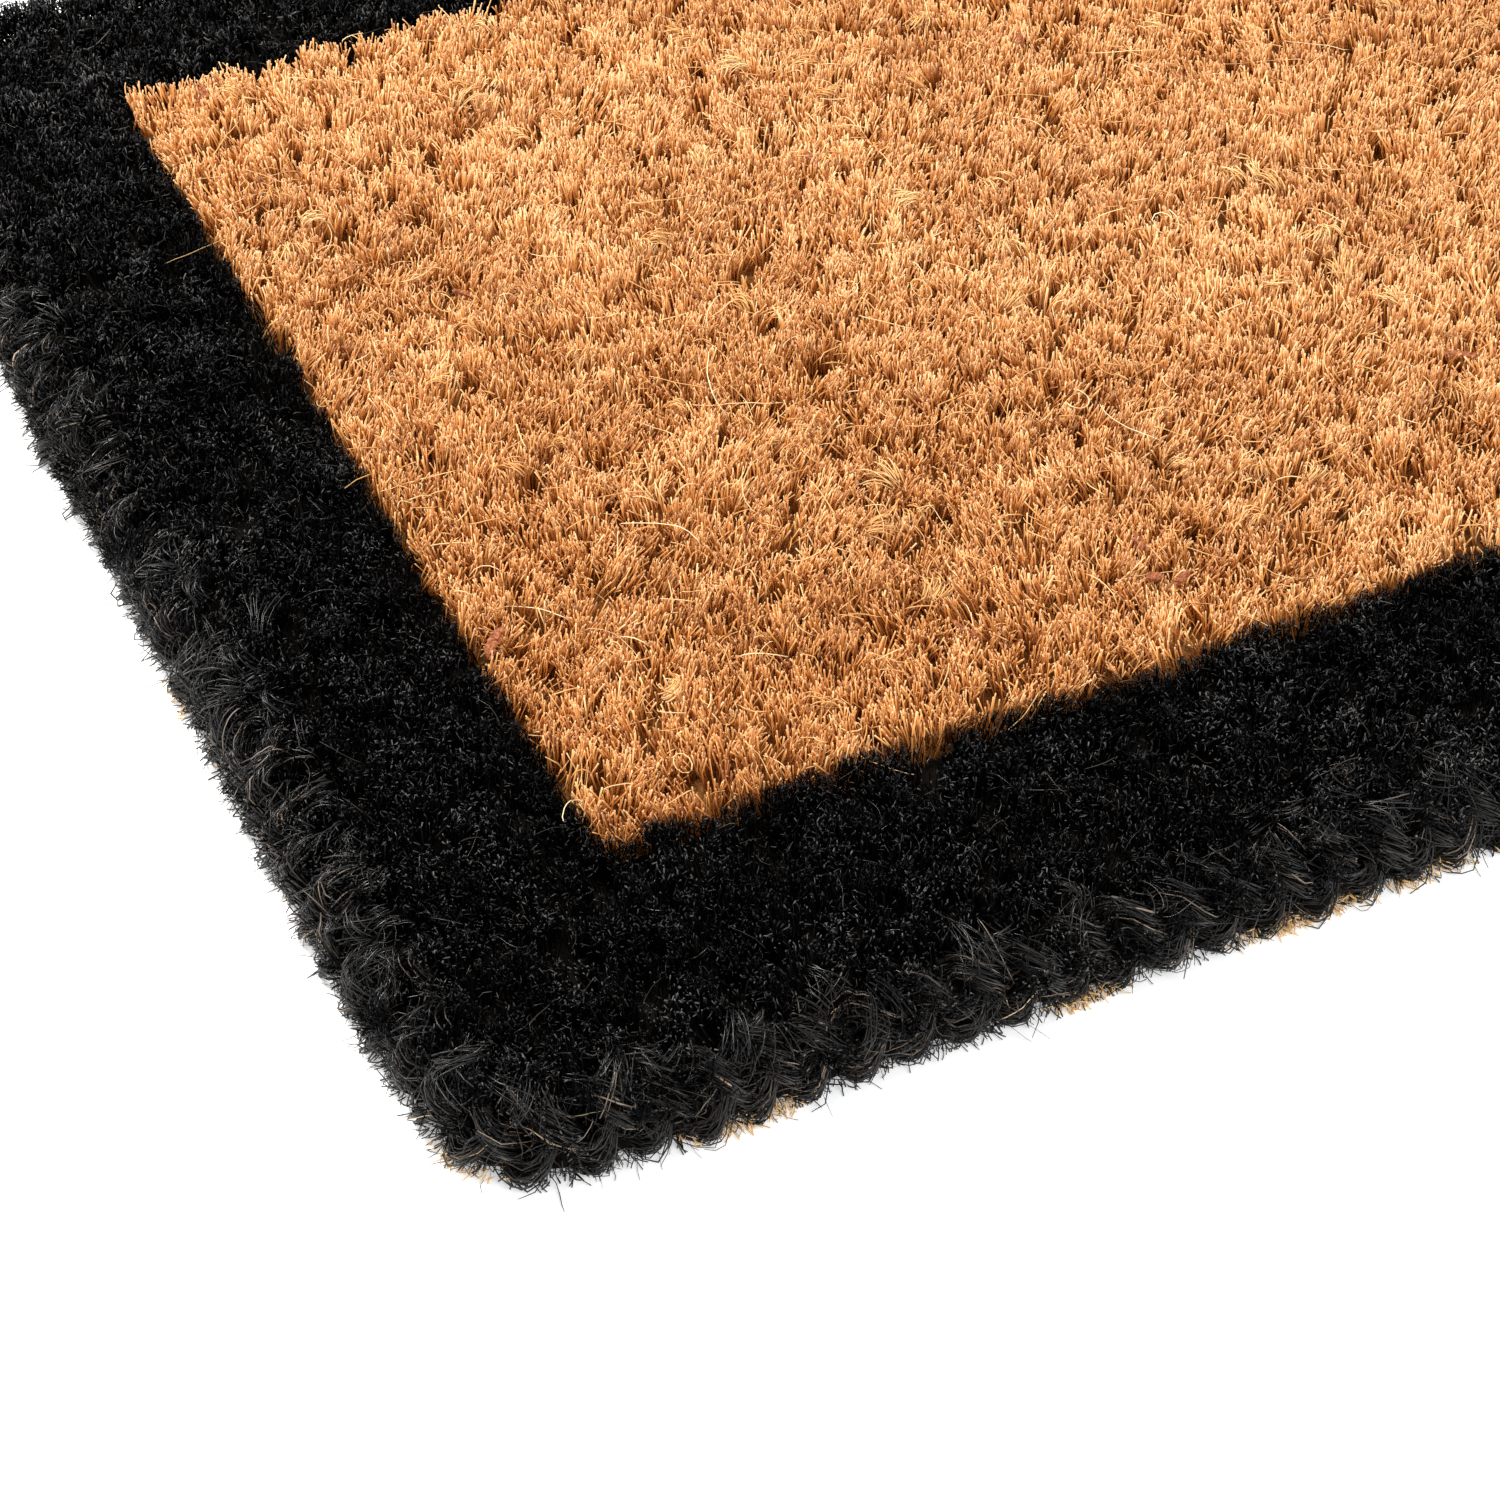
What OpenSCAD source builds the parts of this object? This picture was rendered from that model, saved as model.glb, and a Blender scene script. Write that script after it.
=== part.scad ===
// Handwoven coir door mat with a dyed border.
// A plain-woven foundation of coir yarn carries a cut pile. The field of the pile is
// natural, its border is dyed, and a three-strand plait is sewn round the edge.
// Millimetres. X runs along the mat, Y across it and Z up from the floor, with the
// origin under the middle of the mat.

/* [Mat] */
// Overall length of the mat, over the edge stitches
mat_l = 750; // [600:10:900]
// Overall width of the mat, over the edge stitches
mat_w = 450; // [400:10:600]
// Height of the cut pile above the floor
mat_h = 25; // [23:0.5:35]
// Width of the dyed border along the long sides, from the mat's outer edge to the field
border_side_w = 68; // [40:1:100]
// Width of the dyed border across the ends
border_end_w = 62; // [40:1:100]
// Outer corner radius of the pile
pile_corner_r = 12; // [8:1:20]

/* [Foundation weave] */
// Diameter of the weft yarn
weft_d = 4; // [3:0.2:4.6]
// Distance from one weft yarn to the next
weft_pitch = 12; // [11:0.5:16]
// Thickness of a chain warp yarn, pressed flat
chain_t = 1.4; // [1:0.1:1.6]
// Width of a chain warp yarn
chain_w = 2.6; // [2:0.1:4]
// Distance between neighbouring chain warp yarns of one phase
chain_pitch = 48; // [30:1:60]

/* [Edge plait] */
// Length that one strand takes to go down and up again, before it is fitted to the edge
plait_repeat = 36; // [32:1:44]
// How far a strand swings up and down from the plait's middle
plait_swing = 6.9; // [6.6:0.1:7.2]
// How far a strand swings in and out as the strands cross
plait_cross = 3.7; // [3.6:0.1:3.9]
// Half the height of a strand
strand_ry = 2.4; // [2:0.1:2.4]
// Half the thickness of a strand
strand_rx = 2.15; // [1.8:0.05:2.15]
// Corner radius of the plait's middle line
plait_corner_r = 14; // [12:1:24]
// Diameter of the sewing twine
twine_d = 1.4; // [0.8:0.1:1.6]

/* [Hidden] */

natural = [0.80, 0.55, 0.31];
undyed_yarn = [0.66, 0.46, 0.27];
dyed = [0.07, 0.07, 0.075];
dyed_twine = [0.12, 0.11, 0.11];

gap = 0.25;                                        // clearance between neighbouring soft pieces
round_fn = 48;

weft_r = weft_d / 2;
weft_z = chain_t + weft_r;                         // the weft lies on the chain yarns' undersides
pile_z = 2 * chain_t + weft_d;                     // the pile stands on the finished weave

plait_out = plait_cross + strand_rx;               // half the plait's thickness
plait_inset = plait_out + twine_d + gap / 4;       // from the mat's edge to the plait's middle
plait_z = plait_swing + strand_ry;                 // the plait rests on the floor
plait_top = 2 * plait_z;
body_inset = plait_inset + plait_out + gap;        // the mat's body starts inside the plait
lip_inset = plait_inset - 1;                       // the top of the pile leans out over it
lip_z = plait_top + gap;

run_half = mat_w / 2 - body_inset - gap;
runs_side = floor((mat_l / 2 - body_inset - weft_r - 6) / weft_pitch);
chain_side = floor((mat_w / 2 - body_inset - chain_w - chain_pitch / 2) / chain_pitch);
chain_flat = 1.5;                                  // half the stretch that lies flat on a weft yarn

// The plait's middle line is a rectangle with round corners, walked anticlockwise from
// the left end of the front side.
line_x = mat_l / 2 - plait_inset;
line_y = mat_w / 2 - plait_inset;
long_run = 2 * (line_x - plait_corner_r);
short_run = 2 * (line_y - plait_corner_r);
corner_run = PI * plait_corner_r / 2;
half_lap = long_run + short_run + 2 * corner_run;
repeats = round(2 * half_lap / plait_repeat);
repeat_l = 2 * half_lap / repeats;
rings_per_repeat = 6;
strand_sides = 6;
stitch_every = 2;                                  // plait repeats from one stitch to the next

// One point of the middle line with its outward direction: [x, y, out x, out y].
function on_first_half(s) =
    s < long_run ? [s - long_run / 2, -line_y, 0, -1] :
    s < long_run + corner_run ?
        let (a = (s - long_run) / plait_corner_r * 180 / PI - 90)
        [long_run / 2 + plait_corner_r * cos(a), -short_run / 2 + plait_corner_r * sin(a), cos(a), sin(a)] :
    s < long_run + corner_run + short_run ?
        [line_x, s - long_run - corner_run - short_run / 2, 1, 0] :
    let (a = (s - long_run - corner_run - short_run) / plait_corner_r * 180 / PI)
    [long_run / 2 + plait_corner_r * cos(a), short_run / 2 + plait_corner_r * sin(a), cos(a), sin(a)];
function on_line(s) = s < half_lap ? on_first_half(s) : -on_first_half(s - half_lap);

// A point out from the middle line by d, at height z.
function beside_line(s, d, z) = let (p = on_line(s)) [p[0] + d * p[2], p[1] + d * p[3], z];

// One ring of a strand. Its turn says how far the strand is through its repeat.
function strand_ring(s, turn) = [
    for (j = [0 : strand_sides - 1])
        let (a = 360 * (j + 0.5) / strand_sides)
        beside_line(s, plait_cross * sin(2 * turn) + strand_rx * cos(a),
                    plait_z + plait_swing * sin(turn) + strand_ry * sin(a))
];

// True where a stitch lies wholly on a straight side.
function straight_between(s0, s1) = on_line(s0)[2] == on_line(s1)[2] && on_line(s0)[3] == on_line(s1)[3]
    && norm(beside_line(s0, 0, 0) - beside_line(s1, 0, 0)) < repeat_l;

module rod_y(x, z, length, r) {
    translate([x, 0, z]) rotate([90, 0, 0]) cylinder(h = length, r = r, center = true, $fn = round_fn);
}

// A rod from p to q, both at the same height.
module rod_between(p, q, r) {
    d = q - p;
    translate(p) rotate([0, 0, atan2(d[1], d[0])]) rotate([0, 90, 0])
        cylinder(h = norm(d), r = r, $fn = round_fn / 2);
}

// Straight yarns across the mat, cut where the body ends.
module weft_yarns() {
    color(undyed_yarn)
        for (k = [-runs_side : runs_side]) rod_y(k * weft_pitch, weft_z, 2 * run_half, weft_r);
}

// A flat yarn that goes over one weft yarn and under the next.
module chain_yarn(y, phase) {
    reach = weft_r + chain_t / 2;
    middle = [
        for (k = [-runs_side : runs_side], side = [-1, 1])
            [k * weft_pitch + side * chain_flat, ((k + phase) % 2 == 0 ? 1 : -1) * reach]
    ];
    upper = [for (p = middle) p + [0, chain_t / 2]];
    lower = [for (i = [len(middle) - 1 : -1 : 0]) middle[i] - [0, chain_t / 2]];
    translate([0, y, weft_z]) rotate([90, 0, 0])
        linear_extrude(height = chain_w, center = true) polygon(concat(upper, lower));
}

module chain_warp_yarns_odd() {
    color(undyed_yarn)
        for (j = [-chain_side : chain_side]) chain_yarn(j * chain_pitch, 1);
}

module chain_warp_yarns_even() {
    color(undyed_yarn)
        for (j = [-chain_side : chain_side - 1]) chain_yarn((j + 0.5) * chain_pitch, 0);
}

// A slab with round corners, held in from the mat's edge.
module slab(inset, z0, z1) {
    x = mat_l / 2 - inset;
    y = mat_w / 2 - inset;
    translate([0, 0, z0]) union() {
        translate([pile_corner_r - x, -y, 0]) cube([2 * (x - pile_corner_r), 2 * y, z1 - z0]);
        translate([-x, pile_corner_r - y, 0]) cube([2 * x, 2 * (y - pile_corner_r), z1 - z0]);
        for (sx = [-1, 1], sy = [-1, 1])
            translate([sx * (x - pile_corner_r), sy * (y - pile_corner_r), 0])
                cylinder(h = z1 - z0, r = pile_corner_r, $fn = round_fn);
    }
}

// The whole pile: a body inside the plait, and a lip that leans out over it.
module pile_block() {
    union() {
        slab(body_inset, pile_z, lip_z);
        slab(lip_inset, lip_z, mat_h);
    }
}

module end_border_pile() {
    intersection() {
        pile_block();
        translate([mat_l / 2 - border_end_w, -mat_w, 0]) cube([border_end_w, 2 * mat_w, 2 * mat_h]);
    }
}

module side_border_pile() {
    intersection() {
        pile_block();
        translate([border_end_w - mat_l / 2, mat_w / 2 - border_side_w, 0])
            cube([mat_l - 2 * border_end_w, border_side_w, 2 * mat_h]);
    }
}

module left_border_pile() { color(dyed) mirror([1, 0, 0]) end_border_pile(); }
module right_border_pile() { color(dyed) end_border_pile(); }
module front_border_pile() { color(dyed) mirror([0, 1, 0]) side_border_pile(); }
module back_border_pile() { color(dyed) side_border_pile(); }

module field_pile() {
    color(natural) translate([border_end_w - mat_l / 2, border_side_w - mat_w / 2, pile_z])
        cube([mat_l - 2 * border_end_w, mat_w - 2 * border_side_w, mat_h - pile_z]);
}

// One closed strand of the plait, swept round the whole mat. It is mirrored, so that
// the upper strands slant down to the right as the side of the mat is looked at.
module plait_strand(number) {
    count = repeats * rings_per_repeat;
    points = [
        for (i = [0 : count - 1]) each
            strand_ring(i * repeat_l / rings_per_repeat, 360 * (i + 0.5) / rings_per_repeat + 120 * number)
    ];
    faces = [
        for (i = [0 : count - 1], j = [0 : strand_sides - 1])
            let (a = i * strand_sides, b = (i + 1) % count * strand_sides, j1 = (j + 1) % strand_sides)
            each [[a + j, b + j, b + j1], [a + j, b + j1, a + j1]]
    ];
    color(dyed) mirror([1, 0, 0]) polyhedron(points, faces);
}

module plait_strand_1() { plait_strand(0); }
module plait_strand_2() { plait_strand(1); }
module plait_strand_3() { plait_strand(2); }

// One stitch: two legs through the openings of the plait and a bar over its outer face.
module stitch(s0, s1) {
    z = plait_z + plait_swing / 4;
    out = plait_out + twine_d / 2 + gap / 4;
    bar = [beside_line(s0 - twine_d / 2, out, z), beside_line(s1 + twine_d / 2, out, z)];
    union() {
        rod_between(bar[0], bar[1], twine_d / 2);
        for (s = [s0, s1])
            rod_between(beside_line(s, -plait_out - gap, z), beside_line(s, out, z), twine_d / 2.4);
    }
}

module edge_stitches() {
    color(dyed_twine) mirror([1, 0, 0])
        for (m = [0 : stitch_every : repeats - 1])
            if (straight_between((m + 1 / 6) * repeat_l, (m + 1 / 2) * repeat_l))
                stitch((m + 1 / 6) * repeat_l, (m + 1 / 2) * repeat_l);
}

weft_yarns();
chain_warp_yarns_odd();
chain_warp_yarns_even();
field_pile();
left_border_pile();
right_border_pile();
front_border_pile();
back_border_pile();
plait_strand_1();
plait_strand_2();
plait_strand_3();
edge_stitches();
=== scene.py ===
import math

import bpy
import numpy as np
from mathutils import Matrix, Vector


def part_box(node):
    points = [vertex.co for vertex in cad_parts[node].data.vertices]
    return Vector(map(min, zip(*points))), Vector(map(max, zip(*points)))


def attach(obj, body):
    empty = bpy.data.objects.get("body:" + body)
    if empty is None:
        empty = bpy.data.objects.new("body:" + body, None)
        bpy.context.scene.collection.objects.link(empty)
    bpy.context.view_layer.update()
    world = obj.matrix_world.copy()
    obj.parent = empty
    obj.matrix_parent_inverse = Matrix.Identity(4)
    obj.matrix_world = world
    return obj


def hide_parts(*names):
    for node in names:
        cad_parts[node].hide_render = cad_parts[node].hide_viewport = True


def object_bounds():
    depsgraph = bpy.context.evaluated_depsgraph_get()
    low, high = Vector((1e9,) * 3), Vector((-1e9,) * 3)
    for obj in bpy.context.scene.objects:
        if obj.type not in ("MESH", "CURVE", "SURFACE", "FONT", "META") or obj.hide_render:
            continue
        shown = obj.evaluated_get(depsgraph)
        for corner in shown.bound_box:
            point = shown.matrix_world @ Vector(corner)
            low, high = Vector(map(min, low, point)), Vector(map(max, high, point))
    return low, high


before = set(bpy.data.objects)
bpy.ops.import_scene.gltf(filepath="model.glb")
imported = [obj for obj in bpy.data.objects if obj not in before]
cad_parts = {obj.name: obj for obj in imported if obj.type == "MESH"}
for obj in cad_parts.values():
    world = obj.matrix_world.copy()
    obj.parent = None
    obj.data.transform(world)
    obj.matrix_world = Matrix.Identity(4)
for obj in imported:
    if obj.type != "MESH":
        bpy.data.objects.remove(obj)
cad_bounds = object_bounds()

MM = 0.001
ROOT = "root"
SEED = 20
CIRCLE = 2 * math.pi
TRIANGLES_PER_PIECE = 190000

# ---- the frame's measures, in mm


def node_box(node):
    """The low and high corners of a CAD node's box."""
    low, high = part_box(node)
    return np.array(low) / MM, np.array(high) / MM


MAT_LOW, MAT_HIGH = np.array(cad_bounds[0]) / MM, np.array(cad_bounds[1]) / MM
FIELD_LOW, FIELD_HIGH = node_box("field_pile")
STRAND_LOW, STRAND_HIGH = node_box("plait_strand_1")
MAT_X = MAT_HIGH[0]
MAT_Y = MAT_HIGH[1]
PILE_TOP = FIELD_HIGH[2]
PILE_FOOT = FIELD_LOW[2]
FIELD_X = FIELD_HIGH[0]
FIELD_Y = FIELD_HIGH[1]

# ---- camera

# The camera looks down on the front left corner of the mat.
CAMERA_FROM_CORNER = (-134.8, -412.4, 536.8)
CAMERA_DOWN = 43.23
CAMERA_TURN = 25.66
CAMERA_LENS = 84.0
SENSOR = 36.0


def add_camera():
    """The camera at the photo's place, aimed by its downward angle and its turn to the right."""
    data = bpy.data.cameras.new("camera")
    data.lens = CAMERA_LENS
    data.sensor_width = SENSOR
    data.clip_start = 0.01
    camera = bpy.data.objects.new("camera", data)
    bpy.context.scene.collection.objects.link(camera)
    corner = np.array([MAT_LOW[0], MAT_LOW[1], 0.0])
    camera.location = (corner + np.array(CAMERA_FROM_CORNER)) * MM
    camera.rotation_euler = (math.radians(90 - CAMERA_DOWN), 0, math.radians(-CAMERA_TURN))
    bpy.context.scene.camera = camera


add_camera()

# ---- materials


def new_material(name, roughness, specular):
    """A material with its nodes, links and shader."""
    material = bpy.data.materials.new(name)
    material.use_nodes = True
    nodes = material.node_tree.nodes
    shader = nodes["Principled BSDF"]
    shader.inputs["Roughness"].default_value = roughness
    shader.inputs["Specular IOR Level"].default_value = specular
    return material, nodes, material.node_tree.links, shader


def ramp(nodes, links, source, stops):
    """A colour ramp over source; a stop is a place with a grey or a colour."""
    node = nodes.new("ShaderNodeValToRGB")
    elements = node.color_ramp.elements
    while len(elements) > 1:
        elements.remove(elements[-1])
    for index, (place, colour) in enumerate(stops):
        element = elements[0] if index == 0 else elements.new(place)
        element.position = place
        element.color = (*colour, 1) if isinstance(colour, tuple) else (colour, colour, colour, 1)
    links.new(source, node.inputs["Fac"])
    return node.outputs["Color"]


def mix(nodes, links, mode, factor, first, second):
    """A mix of two colours; each of the three inputs is a socket or a plain value."""
    node = nodes.new("ShaderNodeMix")
    node.data_type = "RGBA"
    node.blend_type = mode
    sockets = (node.inputs["Factor"], node.inputs[6], node.inputs[7])
    for socket, value in zip(sockets, (factor, first, second)):
        if isinstance(value, bpy.types.NodeSocket):
            links.new(value, socket)
        else:
            socket.default_value = value
    return node.outputs[2]


def fibre_material(name, tones, along, tip, highlight_band, highlight_by_tone, roughness, specular):
    """Colour by the fibre's tone, across the UV map, times a painted shade by the way from root to tip, up
    it, with a painted highlight mixed in at the cut tip.
    """
    material, nodes, links, shader = new_material(name, roughness, specular)
    uv = nodes.new("ShaderNodeUVMap")
    uv.uv_map = "OFBake"
    split = nodes.new("ShaderNodeSeparateXYZ")
    links.new(uv.outputs["UV"], split.inputs[0])
    tone = ramp(nodes, links, split.outputs["X"], tones)
    # Painted shade: this ramp darkens the fibre along its way. For the pile's fibres it darkens towards the
    # root, where the pile shades itself.
    shade = ramp(nodes, links, split.outputs["Y"], along)
    body = mix(nodes, links, "MULTIPLY", 1.0, tone, shade)
    # Painted highlight: the tip colour is mixed in near the cut tip, for the tones that the next ramp
    # picks.
    tip_highlight_mask = ramp(nodes, links, split.outputs["Y"], [(0.0, 0.0), (highlight_band[0], 0.0), (highlight_band[1], 1.0)])
    chosen = ramp(nodes, links, split.outputs["X"], highlight_by_tone)
    factor = mix(nodes, links, "MULTIPLY", 1.0, tip_highlight_mask, chosen)
    links.new(mix(nodes, links, "MIX", factor, body, (*tip, 1)), shader.inputs["Base Color"])
    return material


def add_noise(nodes, links, place, scale, detail):
    """Noise over the object's own coordinates."""
    noise = nodes.new("ShaderNodeTexNoise")
    noise.inputs["Scale"].default_value = scale
    noise.inputs["Detail"].default_value = detail
    links.new(place.outputs["Object"], noise.inputs["Vector"])
    return noise


def add_bump(nodes, links, shader, source, strength, distance):
    """Relief from source, distance mm deep."""
    height = nodes.new("ShaderNodeBump")
    height.inputs["Strength"].default_value = strength
    height.inputs["Distance"].default_value = distance * MM
    links.new(source, height.inputs["Height"])
    links.new(height.outputs["Normal"], shader.inputs["Normal"])


def rough_material(name, dark, light, scale, roughness, bump):
    """A felted ground between the fibres: two colours in noise, with a bump of the same grain."""
    material, nodes, links, shader = new_material(name, roughness, 0.1)
    noise = add_noise(nodes, links, nodes.new("ShaderNodeTexCoord"), scale, 6)
    colour = ramp(nodes, links, noise.outputs["Fac"], [(0.35, dark), (0.7, light)])
    links.new(colour, shader.inputs["Base Color"])
    add_bump(nodes, links, shader, noise.outputs["Fac"], bump, 0.5)
    return material


# A wave texture repeats once in this length at a scale of 1.
WAVE_PITCH = 0.314


def yarn_material(name, dark, light, turn, pitch, roughness):
    """Twisted yarn: slanting plies across it, fine fibre noise over them."""
    material, nodes, links, shader = new_material(name, roughness, 0.2)
    place = nodes.new("ShaderNodeTexCoord")
    aim = nodes.new("ShaderNodeMapping")
    aim.inputs["Rotation"].default_value = turn
    links.new(place.outputs["Object"], aim.inputs["Vector"])
    plies = nodes.new("ShaderNodeTexWave")
    plies.inputs["Scale"].default_value = WAVE_PITCH / (pitch * MM)
    plies.inputs["Distortion"].default_value = 1.5
    plies.inputs["Detail"].default_value = 3
    links.new(aim.outputs["Vector"], plies.inputs["Vector"])
    fuzz = add_noise(nodes, links, place, 2500, 5)
    both = mix(nodes, links, "MULTIPLY", 0.7, plies.outputs["Color"], fuzz.outputs["Color"])
    links.new(ramp(nodes, links, both, [(0.1, dark), (0.6, light)]), shader.inputs["Base Color"])
    add_bump(nodes, links, shader, both, 0.9, 0.6)
    return material


NATURAL_TONES = [
    (0.00, (0.180, 0.045, 0.0060)),
    (0.15, (0.350, 0.110, 0.0160)),
    (0.40, (0.535, 0.205, 0.044)),
    (0.65, (0.680, 0.295, 0.078)),
    (0.85, (0.790, 0.410, 0.142)),
    (1.00, (0.880, 0.600, 0.290)),
]
PALE_TONES = [
    (0.00, (0.60, 0.260, 0.064)),
    (0.50, (0.77, 0.43, 0.150)),
    (0.80, (0.86, 0.60, 0.280)),
    (1.00, (0.92, 0.74, 0.440)),
]
DYED_TONES = [
    (0.00, (0.0002, 0.0002, 0.0003)),
    (0.60, (0.0005, 0.0005, 0.0006)),
    (0.90, (0.0018, 0.0017, 0.0018)),
    (1.00, (0.0090, 0.0082, 0.0080)),
]
# The plait's dyed fibres are near black. From 0.86 up the stops are charcoal-brown to cream. They are
# partly the fibres' own lighter tone and partly painted glints on the plait.
PLAIT_TONES = [
    (0.00, (0.0006, 0.0006, 0.0006)),
    (0.40, (0.0032, 0.0026, 0.0022)),
    (0.68, (0.0130, 0.0100, 0.0083)),
    (0.86, (0.0490, 0.0370, 0.0295)),
    (0.94, (0.2600, 0.2000, 0.1520)),
    (0.96, (0.64, 0.410, 0.220)),
    (1.00, (0.90, 0.710, 0.460)),
]

# Each fibre material gets its tones, a painted shade ramp by the way from root to tip, the painted
# highlight colour for the cut tip, the band it covers, how much each tone takes it, and its roughness and
# specular.
natural_fibre = fibre_material(
    "natural_fibre", NATURAL_TONES,
    [(0.0, (0.16, 0.065, 0.025)), (0.3, (0.42, 0.26, 0.14)), (0.6, (0.84, 0.74, 0.62)), (0.88, 1.0)],
    (0.88, 0.60, 0.33), (0.95, 0.99), [(0.0, 0.1), (0.5, 0.4), (1.0, 0.85)], 0.45, 0.3)
pale_fibre = fibre_material(
    "pale_fibre", PALE_TONES,
    [(0.0, 0.9), (0.5, 1.0), (1.0, 0.95)],
    (0.90, 0.72, 0.45), (0.90, 0.98), [(0.0, 0.3), (1.0, 0.6)], 0.42, 0.4)
dyed_fibre = fibre_material(
    "dyed_fibre", DYED_TONES,
    [(0.0, 0.3), (0.6, 0.6), (1.0, 1.0)],
    (0.120, 0.115, 0.114), (0.966, 0.976),
    [(0.0, 0.0), (0.30, 0.03), (0.62, 0.20), (0.90, 0.55), (1.0, 1.0)], 0.50, 0.07)
plait_fibre = fibre_material(
    "plait_fibre", PLAIT_TONES,
    [(0.0, 0.7), (0.5, 1.0), (1.0, 0.7)],
    (0.05, 0.045, 0.042), (0.92, 0.98), [(0.0, 0.2), (1.0, 0.2)], 0.30, 0.45)
# The field's ground is painted in the dark brown of the shade between the tufts, darker than the fibres
# themselves: painted shade.
natural_ground = rough_material(
    "natural_ground", (0.10, 0.036, 0.008), (0.27, 0.115, 0.029), 900, 0.9, 0.8)
dyed_ground = rough_material(
    "dyed_ground", (0.0008, 0.0007, 0.0006), (0.0060, 0.0035, 0.0018), 700, 0.95, 0.8)
husk = rough_material(
    "husk", (0.16, 0.045, 0.018), (0.50, 0.185, 0.080), 1600, 0.75, 1.0)
weft_yarn = yarn_material(
    "weft_yarn", (0.16, 0.075, 0.028), (0.50, 0.27, 0.115), (0.6, 0.6, 0.6), 3.0, 0.8)
warp_yarn = yarn_material(
    "warp_yarn", (0.14, 0.065, 0.025), (0.44, 0.24, 0.10), (0.4, 0.9, 0.3), 2.2, 0.8)

# ---- fibre meshes


def unit(v):
    """Vectors brought to a length of 1."""
    return v / np.maximum(np.linalg.norm(v, axis=-1, keepdims=True), 1e-9)


def fibre_arrays(paths, radii, tone, way, rng):
    """Closed three-sided fibres: a pointed root, rings along the path and a cut tip."""
    count, points = paths.shape[:2]
    run = np.empty_like(paths)
    run[:, 1:-1] = paths[:, 2:] - paths[:, :-2]
    run[:, 0] = paths[:, 1] - paths[:, 0]
    run[:, -1] = paths[:, -1] - paths[:, -2]
    run = unit(run)
    aside = unit(rng.normal(size=(count, 1, 3)))
    across = unit(np.cross(run, aside))
    over = np.cross(run, across)
    angles = np.arange(3) * CIRCLE / 3
    rings = paths[:, 1:, None] + radii[:, 1:, None, None] * (
        np.cos(angles)[:, None] * across[:, 1:, None] + np.sin(angles)[:, None] * over[:, 1:, None])
    verts = np.concatenate([paths[:, :1], rings.reshape(count, -1, 3)], axis=1)

    tris = [(0, 1 + j, 1 + (j + 1) % 3) for j in range(3)]
    for ring in range(points - 2):
        a = 1 + 3 * ring
        for j in range(3):
            k = (j + 1) % 3
            tris += [(a + j, a + 3 + j, a + 3 + k), (a + j, a + 3 + k, a + k)]
    last = 1 + 3 * (points - 2)
    tris.append((last, last + 2, last + 1))
    tris = np.array(tris)[:, ::-1]
    per_fibre = verts.shape[1]
    all_tris = (tris[None] + (np.arange(count) * per_fibre)[:, None, None]).reshape(-1, 3)

    v = np.broadcast_to(way, (count, points))
    v = np.concatenate([v[:, :1], np.repeat(v[:, 1:], 3, axis=1)], axis=1)
    lean = np.concatenate([[0.5], np.tile([0.1, 0.5, 0.9], points - 1)])
    uv = np.empty((count, per_fibre, 2))
    uv[..., 0] = np.clip(tone[:, None] + (lean[None] - 0.5) / 64, 0.002, 0.998)
    uv[..., 1] = 0.002 + 0.996 * v
    return verts.reshape(-1, 3), all_tris, uv.reshape(-1, 2)


CORNER_PULL = 2.2
CORNER_REACH = 45.0


def drawn_in(points):
    """The plait draws each corner of the mat in a little."""
    away = np.hypot(MAT_X - np.abs(points[:, 0]), MAT_Y - np.abs(points[:, 1]))
    pull = CORNER_PULL * np.exp(-(away / CORNER_REACH) ** 2)
    moved = points.copy()
    moved[:, :2] -= np.sign(points[:, :2]) * pull[:, None]
    return moved


def add_mesh(name, verts, tris, uvs, material, smooth=True):
    """An object from vertices in mm, triangles and, for fibres, a UV place to each vertex."""
    verts = drawn_in(verts)
    mesh = bpy.data.meshes.new(name)
    mesh.vertices.add(len(verts))
    mesh.vertices.foreach_set("co", (verts * MM).astype(np.float32).ravel())
    mesh.loops.add(3 * len(tris))
    mesh.loops.foreach_set("vertex_index", tris.astype(np.int32).ravel())
    mesh.polygons.add(len(tris))
    mesh.polygons.foreach_set("loop_start", np.arange(0, 3 * len(tris), 3, dtype=np.int32))
    if uvs is not None:
        layer = mesh.uv_layers.new(name="OFBake")
        layer.data.foreach_set("uv", uvs[tris.ravel()].astype(np.float32).ravel())
    mesh.update(calc_edges=True)
    mesh.polygons.foreach_set("use_smooth", np.full(len(tris), smooth))
    mesh.materials.append(material)
    piece = bpy.data.objects.new(name, mesh)
    bpy.context.scene.collection.objects.link(piece)
    return piece


def faces(*corners):
    """Triangles from three arrays of vertex numbers."""
    return np.stack(corners, -1).reshape(-1, 3)


def hand_over(piece, nodes):
    """Every piece rides on the one body and may replace the nodes that it stands for."""
    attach(piece, ROOT)
    if nodes:
        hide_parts(*nodes)


def add_fibres(name, batches, material, nodes, rng):
    """One piece from batches of fibres: each has paths, radii, a tone and, if uneven, the way along."""
    verts, tris, uvs, start = [], [], [], 0
    for paths, radii, tone, *way in batches:
        if len(paths) == 0:
            continue
        way = way[0] if way else np.linspace(0, 1, paths.shape[1])
        v, t, uv = fibre_arrays(paths, radii, tone, way, rng)
        verts.append(v)
        tris.append(t + start)
        uvs.append(uv)
        start += len(v)
    piece = add_mesh(name, np.concatenate(verts), np.concatenate(tris), np.concatenate(uvs), material)
    hand_over(piece, nodes)


def add_shares(name, fibres, order, share, nodes, rng):
    """Plait fibres in so many pieces, each with the next stretch of the order."""
    for index, pick in enumerate(np.array_split(order, share)):
        batch = [values[pick] for values in fibres]
        add_fibres(f"{name}_{index + 1}", [batch], plait_fibre, nodes, rng)


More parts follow.
